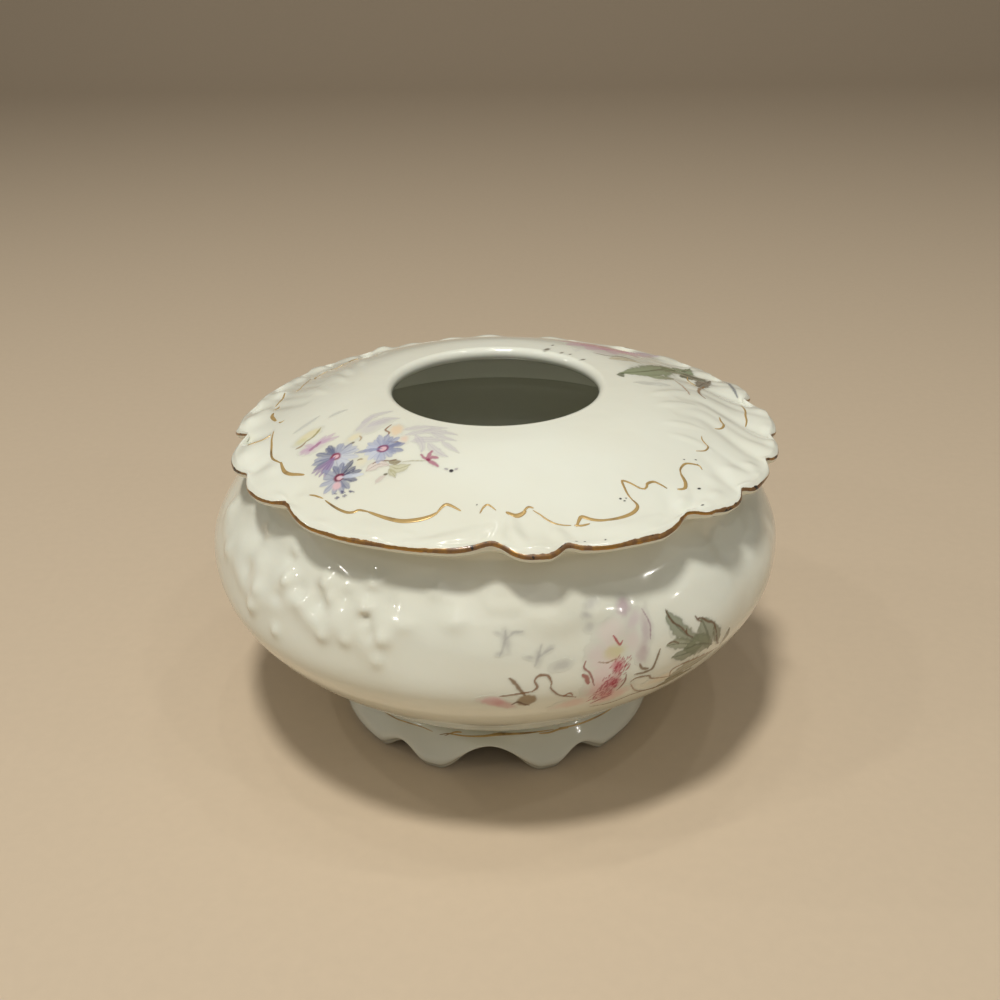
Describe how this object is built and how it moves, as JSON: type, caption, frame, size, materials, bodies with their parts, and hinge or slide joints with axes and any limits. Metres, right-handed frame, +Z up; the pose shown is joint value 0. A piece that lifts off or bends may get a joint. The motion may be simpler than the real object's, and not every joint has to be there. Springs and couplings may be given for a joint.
{
  "type": "hair receiver",
  "caption": "Squat porcelain dressing-table bowl on a scalloped foot, with a loose scalloped lid that has a round hole for hair in its crown.",
  "frame": {"origin": "on the table under the middle of the foot", "axes": "+Z up through the hole in the lid, -Y towards the front, +X to the right seen from the front"},
  "size_m": [0.1112, 0.1112, 0.07],
  "materials": {
    "porcelain_glaze": "clear high-gloss glaze over white porcelain, with painted flower sprays",
    "gilt": "burnished gold painted on the glaze, worn to brown on the edges"
  },
  "bodies": {
    "bowl": {"bowl": "porcelain_glaze"},
    "lid": {"lid": "porcelain_glaze"}
  },
  "joints": [
    {"name": "lid_lift", "type": "slide", "parent": "bowl", "child": "lid", "axis": [0, 0, 1], "range_m": [0, 0.04]}
  ]
}
